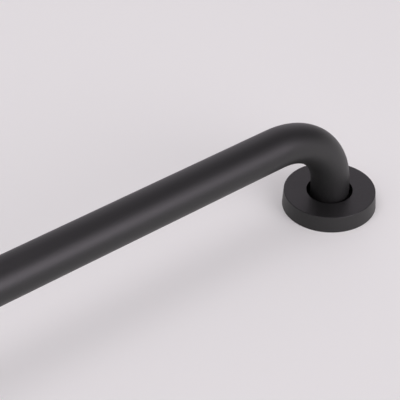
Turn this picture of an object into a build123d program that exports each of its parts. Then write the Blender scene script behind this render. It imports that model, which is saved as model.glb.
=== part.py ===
from build123d import *
import os

# Straight wall grab bar with hidden screws, in millimetres.
# X runs along the bar, Z points away from the wall, and the origin lies on the wall midway between the legs.

# The bar
fixing_spacing = 450.0
bar_height = 83.0
bend_radius = 62.0
tube_diameter = 32.0
tube_wall = 1.2
tube_setback = 0.5

# The loose cover over each foot
cover_diameter = 78.0
cover_height = 14.5
cover_taper = 1.1
cover_wall = 1.0
cover_edge_break = 0.6
cover_hole_clearance = 3.1

# The fixing plate under each cover
plate_thickness = 3.0
plate_bore_clearance = 0.1
plate_rim_clearance = 0.15
screw_count = 3
screw_circle_diameter = 56.0
screw_hole_diameter = 6.5

# The weld between leg and plate
weld_leg = 4.0

# Sizes that follow from the ones above
tube_radius = tube_diameter / 2
leg_offset = fixing_spacing / 2
cover_rim_radius = cover_diameter / 2
cover_top_radius = cover_rim_radius - cover_taper
cover_hole_radius = tube_radius + cover_hole_clearance
cover_bore_at_plate = cover_rim_radius - cover_wall - cover_taper * plate_thickness / cover_height
plate_radius = cover_bore_at_plate - plate_rim_clearance

os.makedirs("parts", exist_ok=True)

# One tube, bent down at both ends and stopped just short of the wall so that the plates seat flat
with BuildPart() as grab_tube:
    with BuildLine(Plane.XZ) as route:
        FilletPolyline(
            (-leg_offset, tube_setback),
            (-leg_offset, bar_height),
            (leg_offset, bar_height),
            (leg_offset, tube_setback),
            radius=bend_radius,
        )
    with BuildSketch(Plane(route.line @ 0, z_dir=route.line % 0)):
        Circle(tube_radius)
        Circle(tube_radius - tube_wall, mode=Mode.SUBTRACT)
    sweep()
grab_tube.part.label = "grab_tube"
export_step(grab_tube.part, "parts/grab_tube.step")

# Each leg has a plane flat on the wall that faces outwards, and one upright along the bar for turned sections
feet = {
    "left": Plane((-leg_offset, 0, 0), x_dir=(-1, 0, 0), z_dir=(0, 0, 1)),
    "right": Plane((leg_offset, 0, 0), x_dir=(1, 0, 0), z_dir=(0, 0, 1)),
}
uprights = {end: Plane(foot.origin, x_dir=foot.x_dir, z_dir=-foot.y_dir) for end, foot in feet.items()}
leg_axes = {end: Axis(foot.origin, foot.z_dir) for end, foot in feet.items()}

# Fixing plates, each with one screw on the outward side and a rim that its cover pushes down over
with BuildPart() as mounting_plates:
    for foot in feet.values():
        with BuildSketch(foot):
            Circle(plate_radius)
            Circle(tube_radius + plate_bore_clearance, mode=Mode.SUBTRACT)
            with PolarLocations(screw_circle_diameter / 2, screw_count):
                Circle(screw_hole_diameter / 2, mode=Mode.SUBTRACT)
    extrude(amount=plate_thickness)
mounting_plates.part.label = "mounting_plates"
export_step(mounting_plates.part, "parts/mounting_plates.step")

# Fillet welds, one ring round each leg where it comes out of its plate
with BuildPart() as weld_beads:
    for end, upright in uprights.items():
        with BuildSketch(upright):
            with BuildLine():
                Polyline(
                    (tube_radius, plate_thickness),
                    (tube_radius + weld_leg, plate_thickness),
                    (tube_radius, plate_thickness + weld_leg),
                    close=True,
                )
            make_face()
        revolve(axis=leg_axes[end])
weld_beads.part.label = "weld_beads"
export_step(weld_beads.part, "parts/weld_beads.step")

# Pressed covers: a flat top with a hole for the leg, a broken edge and a slightly tapered wall
for end, upright in uprights.items():
    with BuildPart() as cover:
        with BuildSketch(upright) as cover_section:
            with BuildLine():
                Polyline(
                    (cover_rim_radius, 0),
                    (cover_top_radius, cover_height),
                    (cover_hole_radius, cover_height),
                    (cover_hole_radius, cover_height - cover_wall),
                    (cover_top_radius - cover_wall, cover_height - cover_wall),
                    (cover_rim_radius - cover_wall, 0),
                    close=True,
                )
            make_face()
            top_corner = cover_section.vertices().group_by(Axis.Y)[-1].sort_by(Axis.X)[-1]
            chamfer(top_corner, cover_edge_break)
        revolve(axis=leg_axes[end])
    cover.part.label = f"{end}_cover"
    export_step(cover.part, f"parts/{end}_cover.step")
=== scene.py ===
import math

import bmesh
import bpy
from mathutils import Matrix, Vector, noise


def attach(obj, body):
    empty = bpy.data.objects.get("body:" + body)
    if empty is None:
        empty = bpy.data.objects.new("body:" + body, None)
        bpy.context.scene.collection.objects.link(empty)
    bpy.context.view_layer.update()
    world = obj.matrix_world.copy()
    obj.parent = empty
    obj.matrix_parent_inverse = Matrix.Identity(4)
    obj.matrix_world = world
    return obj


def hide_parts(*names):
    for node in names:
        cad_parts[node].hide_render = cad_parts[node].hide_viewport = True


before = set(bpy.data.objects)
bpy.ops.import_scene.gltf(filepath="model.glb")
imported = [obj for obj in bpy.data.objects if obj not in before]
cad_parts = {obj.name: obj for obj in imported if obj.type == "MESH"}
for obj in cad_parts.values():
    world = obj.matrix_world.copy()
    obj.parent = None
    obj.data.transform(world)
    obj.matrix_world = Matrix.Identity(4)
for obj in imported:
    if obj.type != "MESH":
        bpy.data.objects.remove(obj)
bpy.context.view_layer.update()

# The grab tube
# One length of 32 mm steel tube with a thin wall, drawn round a mandrel to a right angle at each end, so
# it is both the grip and the legs. It is sprayed with black powder and baked, which leaves a matte grain.

tube_radius = 0.016
tube_wall = 0.0012
tube_end_break = 0.0002
leg_offset = 0.225
leg_foot_height = 0.0005
bar_height = 0.083
bend_radius = 0.062
rings_per_leg = 6
rings_per_bend = 40
rings_per_half_grip = 24
facets_round_tube = 96
crease_angle = math.radians(40)

bore_radius = tube_radius - tube_wall
leg_length = bar_height - bend_radius - leg_foot_height
bend_length = bend_radius * math.pi / 2
half_grip_length = leg_offset - bend_radius
half_route = leg_length + bend_length + half_grip_length


def point_on_route(along):
    """Centre of the tube and its heading, for a distance along it measured from the middle of the grip."""
    side = math.copysign(1.0, along)
    past_grip = abs(along) - half_grip_length
    if past_grip <= 0:
        return Vector((along, 0, bar_height)), Vector((1, 0, 0))
    turn = min(past_grip / bend_radius, math.pi / 2)
    down_leg = max(past_grip - bend_length, 0.0)
    centre = Vector((
        side * (half_grip_length + bend_radius * math.sin(turn)),
        0,
        bar_height - bend_radius * (1 - math.cos(turn)) - down_leg,
    ))
    return centre, Vector((math.cos(turn), 0, -side * math.sin(turn)))


def even_steps(start, end, count):
    """Evenly spaced distances from start on, without the end itself."""
    return [start + (end - start) * step / count for step in range(count)]


half_stations = (
    even_steps(0, half_grip_length, rings_per_half_grip)
    + even_steps(half_grip_length, half_grip_length + bend_length, rings_per_bend)
    + even_steps(half_grip_length + bend_length, half_route - tube_end_break, rings_per_leg)
    + [half_route - tube_end_break]
)
stations = [-along for along in reversed(half_stations[1:])] + half_stations
skin = [(along, tube_radius) for along in stations]
bore = [(along, bore_radius) for along in reversed(stations)]
right_end = [(half_route, tube_radius - tube_end_break), (half_route, bore_radius + tube_end_break)]
left_end = [(-half_route, bore_radius + tube_end_break), (-half_route, tube_radius - tube_end_break)]

tube_form = bmesh.new()
tube_rings = []
for along, radius in skin + right_end + bore + left_end:
    centre, heading = point_on_route(along)
    across = Vector((0, 1, 0))
    outward = across.cross(heading)
    ring = []
    for facet in range(facets_round_tube):
        angle = math.tau * facet / facets_round_tube
        offset = across * math.cos(angle) + outward * math.sin(angle)
        ring.append(tube_form.verts.new(centre + offset * radius))
    tube_rings.append(ring)


def join_rings(form, rings):
    """Skins a closed loop of closed rings with four-sided faces."""
    for ring, next_ring in zip(rings, rings[1:] + rings[:1]):
        for i in range(len(ring)):
            j = (i + 1) % len(ring)
            form.faces.new((ring[i], ring[j], next_ring[j], next_ring[i]))
    bmesh.ops.recalc_face_normals(form, faces=form.faces)


join_rings(tube_form, tube_rings)


def piece_from(form, name):
    """Turns a finished form into an object with soft shading that leaves flat faces flat."""
    mesh = bpy.data.meshes.new(name)
    form.to_mesh(mesh)
    form.free()
    mesh.shade_smooth()
    mesh.set_sharp_from_angle(angle=crease_angle)
    piece = bpy.data.objects.new(name, mesh)
    bpy.context.scene.collection.objects.link(piece)
    keep_flats = piece.modifiers.new("keep_flats", "WEIGHTED_NORMAL")
    keep_flats.keep_sharp = True
    return piece


class Shade:
    """One output of a node. Arithmetic on it adds Math nodes, and add() adds any other node."""

    def __init__(self, tree, output):
        self.tree = tree
        self.output = output

    @classmethod
    def add(cls, tree, kind, settings=None, inputs=None, output=0):
        node = tree.nodes.new(kind)
        for name, value in (settings or {}).items():
            setattr(node, name, value)
        for name, value in (inputs or {}).items():
            if isinstance(value, cls):
                tree.links.new(value.output, node.inputs[name])
            else:
                node.inputs[name].default_value = value
        return cls(tree, node.outputs[output]) if node.outputs else node

    def maths(self, operation, first, second):
        return Shade.add(self.tree, "ShaderNodeMath", {"operation": operation}, {0: first, 1: second})

    def __add__(self, other):
        return self.maths("ADD", self, other)

    def __radd__(self, other):
        return self.maths("ADD", other, self)

    def __sub__(self, other):
        return self.maths("SUBTRACT", self, other)

    def __rsub__(self, other):
        return self.maths("SUBTRACT", other, self)

    def __mul__(self, other):
        return self.maths("MULTIPLY", self, other)

    def __rmul__(self, other):
        return self.maths("MULTIPLY", other, self)

    def __rpow__(self, other):
        return self.maths("POWER", other, self)


coat_black = (0.0128, 0.0134, 0.0128)
coat_swing = 0.18
coat_roughness = 0.43
coat_relief = 0.00012
coat_ior = 1.51
grain_size = 0.0006
peel_size = 0.0022
bloom_size = 0.035
speckle_falloff = 0.55
bloom_in_colour = 0.6
bloom_in_roughness = 0.06
grain_in_roughness = 0.04
peel_in_relief = 0.55


def powder_coat(name, roughness, relief_depth):
    """Baked black powder: a fine grain, a slow orange peel under it, and a slightly uneven bloom."""
    material = bpy.data.materials.new(name)
    material.use_nodes = True
    tree = material.node_tree
    tree.nodes.clear()
    place = Shade.add(tree, "ShaderNodeTexCoord", output="Object")

    def speckle(size, octaves):
        look = {"Vector": place, "Scale": 1 / size, "Detail": octaves, "Roughness": speckle_falloff}
        return Shade.add(tree, "ShaderNodeTexNoise", {"noise_dimensions": "3D"}, look)

    grain = speckle(grain_size, octaves=2)
    peel = speckle(peel_size, octaves=1)
    bloom = speckle(bloom_size, octaves=3)
    dark = [channel * (1 - coat_swing) for channel in coat_black] + [1]
    pale = [channel * (1 + coat_swing) for channel in coat_black] + [1]
    patches = bloom * bloom_in_colour + grain * (1 - bloom_in_colour)
    # A Mix node has its two colours at sockets 6 and 7, and the mixed colour at output 2.
    colour = Shade.add(tree, "ShaderNodeMix", {"data_type": "RGBA"},
                       {0: patches, 6: dark, 7: pale}, output=2)
    smoothest = roughness - (bloom_in_roughness + grain_in_roughness) / 2
    gloss = smoothest + bloom_in_roughness * bloom + grain_in_roughness * grain
    bumps = grain * (1 - peel_in_relief) + peel * peel_in_relief
    relief = Shade.add(tree, "ShaderNodeBump", {},
                       {"Strength": 1.0, "Distance": relief_depth, "Height": bumps})
    coat = Shade.add(tree, "ShaderNodeBsdfPrincipled", {},
                     {"Base Color": colour, "Roughness": gloss, "IOR": coat_ior, "Normal": relief})
    Shade.add(tree, "ShaderNodeOutputMaterial", {}, {"Surface": coat})
    return material


grab_tube = piece_from(tube_form, "grab_tube_coated")
grab_tube.data.materials.append(powder_coat("bar_powder", coat_roughness, coat_relief))
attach(grab_tube, "bar")
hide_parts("grab_tube")

# The fixing plates
# A flat steel disc at the foot of each leg, cut from 3 mm plate with a bore for the leg and three screw
# holes. The cut edges are eased before coating, and the cover pushes down over the rim.

plate_radius = 0.03762
plate_bore_clearance = 0.0001
plate_thickness = 0.003
plate_edge_ease = 0.0003
plate_roughness = 0.44
screw_hole_radius = 0.00325
screw_circle_radius = 0.028
screws_per_plate = 3
facets_per_quarter = 24
ease_resolution = 2
merge_distance = 1e-6

plate_bore_radius = tube_radius + plate_bore_clearance

plate_outline = bpy.data.curves.new("plate_outline", "CURVE")
plate_outline.dimensions = "2D"
plate_outline.fill_mode = "BOTH"
plate_outline.resolution_u = facets_per_quarter
plate_outline.extrude = plate_thickness / 2 - plate_edge_ease
plate_outline.bevel_depth = plate_edge_ease
plate_outline.bevel_resolution = ease_resolution
plate_outline.offset = -plate_edge_ease


def outward_at(angle):
    """Level unit vector at an angle round a leg."""
    return Vector((math.cos(angle), math.sin(angle), 0))


def circle_outline(curve, centre_x, centre_y, radius):
    """Adds one round outline of four curve points."""
    handle = radius * 4 / 3 * math.tan(math.pi / 8)
    spline = curve.splines.new("BEZIER")
    spline.bezier_points.add(3)
    spline.use_cyclic_u = True
    for quarter, point in enumerate(spline.bezier_points):
        outward = outward_at(quarter * math.pi / 2)
        onward = Vector((-outward.y, outward.x, 0))
        point.co = Vector((centre_x, centre_y, 0)) + outward * radius
        point.handle_left = point.co - onward * handle
        point.handle_right = point.co + onward * handle


for end in (-1, 1):
    circle_outline(plate_outline, end * leg_offset, 0, plate_radius)
    circle_outline(plate_outline, end * leg_offset, 0, plate_bore_radius)
    for screw in range(screws_per_plate):
        angle = math.tau * screw / screws_per_plate
        hole_x = end * (leg_offset + screw_circle_radius * math.cos(angle))
        hole_y = screw_circle_radius * math.sin(angle)
        circle_outline(plate_outline, hole_x, hole_y, screw_hole_radius)

outline_object = bpy.data.objects.new("plate_outline", plate_outline)
plate_mesh = bpy.data.meshes.new_from_object(outline_object)
bpy.data.objects.remove(outline_object)
bpy.data.curves.remove(plate_outline)
plate_form = bmesh.new()
plate_form.from_mesh(plate_mesh)
bpy.data.meshes.remove(plate_mesh)
bmesh.ops.remove_doubles(plate_form, verts=plate_form.verts, dist=merge_distance)
bmesh.ops.translate(plate_form, verts=plate_form.verts, vec=(0, 0, plate_thickness / 2))
bmesh.ops.recalc_face_normals(plate_form, faces=plate_form.faces)

mounting_plates = piece_from(plate_form, "mounting_plates_coated")
mounting_plates.data.materials.append(powder_coat("plate_powder", plate_roughness, coat_relief))
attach(mounting_plates, "bar")
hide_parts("mounting_plates")

# The welds
# A fillet weld runs once round each leg where it comes out of its plate. It was laid as overlapping drops,
# so its face is crowned and rippled, and the powder softens the ripples.

weld_leg = 0.004
weld_root_depth = 0.0002
weld_crown = 0.00045
weld_ripple = 0.00016
weld_wander = 0.00012
weld_relief = 0.0001
drops_per_weld = 46
steps_per_drop = 8
steps_over_face = 12
drop_trail = 0.45
drop_roundness = 0.7
drop_level = 0.6
wander_pace = 9
wander_shift = 5

steps_round_weld = drops_per_weld * steps_per_drop


def stand_section(form, foot, outward, section):
    """Adds the points of an upright section, given as distances from the leg's axis and heights."""
    return [
        form.verts.new(foot + outward * distance + Vector((0, 0, height)))
        for distance, height in section
    ]


weld_form = bmesh.new()
for end in (-1, 1):
    foot = Vector((end * leg_offset, 0, 0))
    weld_rings = []
    for step in range(steps_round_weld):
        outward = outward_at(math.tau * step / steps_round_weld)
        weld_section = [(tube_radius - weld_root_depth, plate_thickness)]
        for row in range(steps_over_face + 1):
            share = row / steps_over_face
            bow = 4 * share * (1 - share)
            drop = step / steps_per_drop - drop_trail * bow
            lag = drop - math.floor(drop)
            ripple = math.sin(math.pi * lag) ** drop_roundness - drop_level
            wander = noise.noise(outward * wander_pace + Vector((0, 0, end * wander_shift + share)))
            swell = bow * (weld_crown + weld_wander * wander) + math.sqrt(bow) * weld_ripple * ripple
            weld_section.append((
                tube_radius + weld_leg * (1 - share) + swell * math.sqrt(0.5),
                plate_thickness + weld_leg * share + swell * math.sqrt(0.5),
            ))
        weld_section.append((tube_radius - weld_root_depth, plate_thickness + weld_leg))
        weld_rings.append(stand_section(weld_form, foot, outward, weld_section))
    join_rings(weld_form, weld_rings)

weld_beads = piece_from(weld_form, "weld_beads_coated")
weld_beads.data.materials.append(powder_coat("weld_powder", coat_roughness, weld_relief))
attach(weld_beads, "bar")
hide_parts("weld_beads")

# The covers
# A cap pressed from 1 mm sheet sits loose over each foot and hides the screws. Its wall leans in a little,
# its top edge is rolled over in the press, and its hole is wider than the tube so that it can slide.

cover_rim_radius = 0.039
cover_height = 0.0145
cover_taper = 0.0011
cover_hole_clearance = 0.0031
cover_wall = 0.001
cover_shoulder = 0.0006
cover_inner_corner = 0.0004
cover_lip_ease = 0.00022
facets_round_cover = 160
facets_per_shoulder = 8
facets_per_lip = 3

cover_top_radius = cover_rim_radius - cover_taper
cover_hole_radius = tube_radius + cover_hole_clearance
cover_corners = [
    (cover_rim_radius, 0, cover_lip_ease, facets_per_lip),
    (cover_top_radius, cover_height, cover_shoulder, facets_per_shoulder),
    (cover_hole_radius, cover_height, cover_lip_ease, facets_per_lip),
    (cover_hole_radius, cover_height - cover_wall, cover_lip_ease, facets_per_lip),
    (cover_top_radius - cover_wall, cover_height - cover_wall, cover_inner_corner, facets_per_lip),
    (cover_rim_radius - cover_wall, 0, cover_lip_ease, facets_per_lip),
]


def rounded_section(corners):
    """Points of a closed section whose corners are rounded, each to its own radius and number of facets."""
    points = []
    for i, (x, z, radius, facets) in enumerate(corners):
        corner = Vector((x, z))
        back = (Vector(corners[i - 1][:2]) - corner).normalized()
        onward = (Vector(corners[(i + 1) % len(corners)][:2]) - corner).normalized()
        half_angle = back.angle(onward) / 2
        centre = corner + (back + onward).normalized() * radius / math.sin(half_angle)
        start = (corner + back * radius / math.tan(half_angle) - centre).normalized()
        end = (corner + onward * radius / math.tan(half_angle) - centre).normalized()
        for facet in range(facets + 1):
            points.append(centre + start.slerp(end, facet / facets) * radius)
    return points


cover_section = rounded_section(cover_corners)
for name, end in (("left_cover", -1), ("right_cover", 1)):
    foot = Vector((end * leg_offset, 0, 0))
    cover_form = bmesh.new()
    cover_rings = []
    for facet in range(facets_round_cover):
        outward = outward_at(math.tau * facet / facets_round_cover)
        cover_rings.append(stand_section(cover_form, foot, outward, cover_section))
    join_rings(cover_form, cover_rings)
    cover = piece_from(cover_form, name + "_coated")
    cover.data.materials.append(powder_coat(name + "_powder", coat_roughness, coat_relief))
    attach(cover, name)
    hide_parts(name)

# The studio
# The bar lies on a pale board, with a large soft light in front, one high on the left, a dim one behind and
# a soft box overhead. The camera and reflections see a faint glow in the board that lightens its shadows,
# except where the plates stand.

board_colour = (0.874, 0.911, 0.852, 1)
board_glow_tint = (1.023, 0.972, 1.006, 1)
board_glow_share = 0.18
board_half_width = 40.0
board_gap = 0.0001
unlit_radius = 0.037
facets_round_unlit = 64

floor_form = bmesh.new()
bmesh.ops.create_grid(floor_form, x_segments=1, y_segments=1, size=board_half_width)
for end in (-1, 1):
    under_plate = Matrix.Translation((end * leg_offset, 0, board_gap / 2))
    unlit = bmesh.ops.create_circle(floor_form, cap_ends=True, segments=facets_round_unlit,
                                    radius=unlit_radius, matrix=under_plate)
    for face in unlit["verts"][0].link_faces:
        face.material_index = 1
floor_mesh = bpy.data.meshes.new("floor")
floor_form.to_mesh(floor_mesh)
floor_form.free()
floor = bpy.data.objects.new("floor", floor_mesh)
floor.location.z = -board_gap
bpy.context.scene.collection.objects.link(floor)
for name, glow_share in (("lit_board", board_glow_share), ("unlit_board", 0.0)):
    board = bpy.data.materials.new(name)
    board.use_nodes = True
    tree = board.node_tree
    tree.nodes.clear()
    matte = Shade.add(tree, "ShaderNodeBsdfDiffuse", {}, {"Color": board_colour})
    bright = Shade.add(tree, "ShaderNodeEmission", {}, {"Color": board_glow_tint, "Strength": 1.0})
    camera_ray = Shade.add(tree, "ShaderNodeLightPath", output="Is Camera Ray")
    glossy_ray = Shade.add(tree, "ShaderNodeLightPath", output="Is Glossy Ray")
    glass_ray = Shade.add(tree, "ShaderNodeLightPath", output="Is Transmission Ray")
    seen = camera_ray + glossy_ray + glass_ray
    both = Shade.add(tree, "ShaderNodeMixShader", {}, {0: seen * glow_share, 1: matte, 2: bright})
    Shade.add(tree, "ShaderNodeOutputMaterial", {}, {"Surface": both})
    floor_mesh.materials.append(board)

light_tint = (1.028, 0.936, 1.036, 1)
# Each soft light has degrees round and up, how tightly it is gathered, and how bright its middle is.
front_light = (8.3, 18.9, 10.8, 5.34)
left_light = (267.1, 54, 13.0, 2.1)
back_light = (141.5, 21.7, 5.4, 0.965)


def heading_of(azimuth, elevation):
    """Unit vector for degrees round from -Y towards +X, and degrees above the floor."""
    turn = math.radians(azimuth)
    rise = math.radians(elevation)
    return Vector((math.sin(turn) * math.cos(rise), -math.cos(turn) * math.cos(rise), math.sin(rise)))


world = bpy.data.worlds.new("studio")
world.use_nodes = True
world.node_tree.nodes.clear()
sky = Shade.add(world.node_tree, "ShaderNodeTexCoord", output="Generated")
glow = 0.0
for azimuth, elevation, tightness, brightness in (front_light, left_light, back_light):
    facing = Shade.add(world.node_tree, "ShaderNodeVectorMath", {"operation": "DOT_PRODUCT"},
                       {0: sky, 1: heading_of(azimuth, elevation)}, output="Value")
    glow = glow + brightness * math.e ** ((facing - 1) * tightness)
light = Shade.add(world.node_tree, "ShaderNodeBackground", {}, {"Color": light_tint, "Strength": glow})
Shade.add(world.node_tree, "ShaderNodeOutputWorld", {}, {"Surface": light})
bpy.context.scene.world = world

box_radiance = 1.233
box_width = 0.8
box_place = (-0.1, 0, 1.5)
soft_box = bpy.data.lights.new("overhead_box", "AREA")
soft_box.shape = "SQUARE"
soft_box.size = box_width
soft_box.energy = box_radiance * math.pi * box_width ** 2
soft_box.color = light_tint[:3]
overhead_box = bpy.data.objects.new("overhead_box", soft_box)
overhead_box.location = box_place
bpy.context.scene.collection.objects.link(overhead_box)

# The camera looks down along the bar at its right foot.
camera_place = (-0.3592, -0.5925, 0.6472)
camera_azimuth = -37.18
camera_elevation = 37.87
camera_roll = math.radians(0.97)
camera_reach = 50
focal_pixels = 1255.4
image_pixels = 400
sensor_width = 36.0
back = heading_of(camera_azimuth, camera_elevation)
level_right = (-back).cross(Vector((0, 0, 1))).normalized()
level_up = back.cross(level_right)
right = level_right * math.cos(camera_roll) - level_up * math.sin(camera_roll)
up = level_right * math.sin(camera_roll) + level_up * math.cos(camera_roll)
lens = bpy.data.cameras.new("camera")
lens.sensor_width = sensor_width
lens.lens = focal_pixels * sensor_width / image_pixels
lens.clip_end = camera_reach
camera = bpy.data.objects.new("camera", lens)
camera.matrix_world = Matrix.Translation(camera_place) @ Matrix((right, up, back)).transposed().to_4x4()
bpy.context.scene.collection.objects.link(camera)
bpy.context.scene.camera = camera
bpy.context.scene.view_settings.view_transform = "Standard"
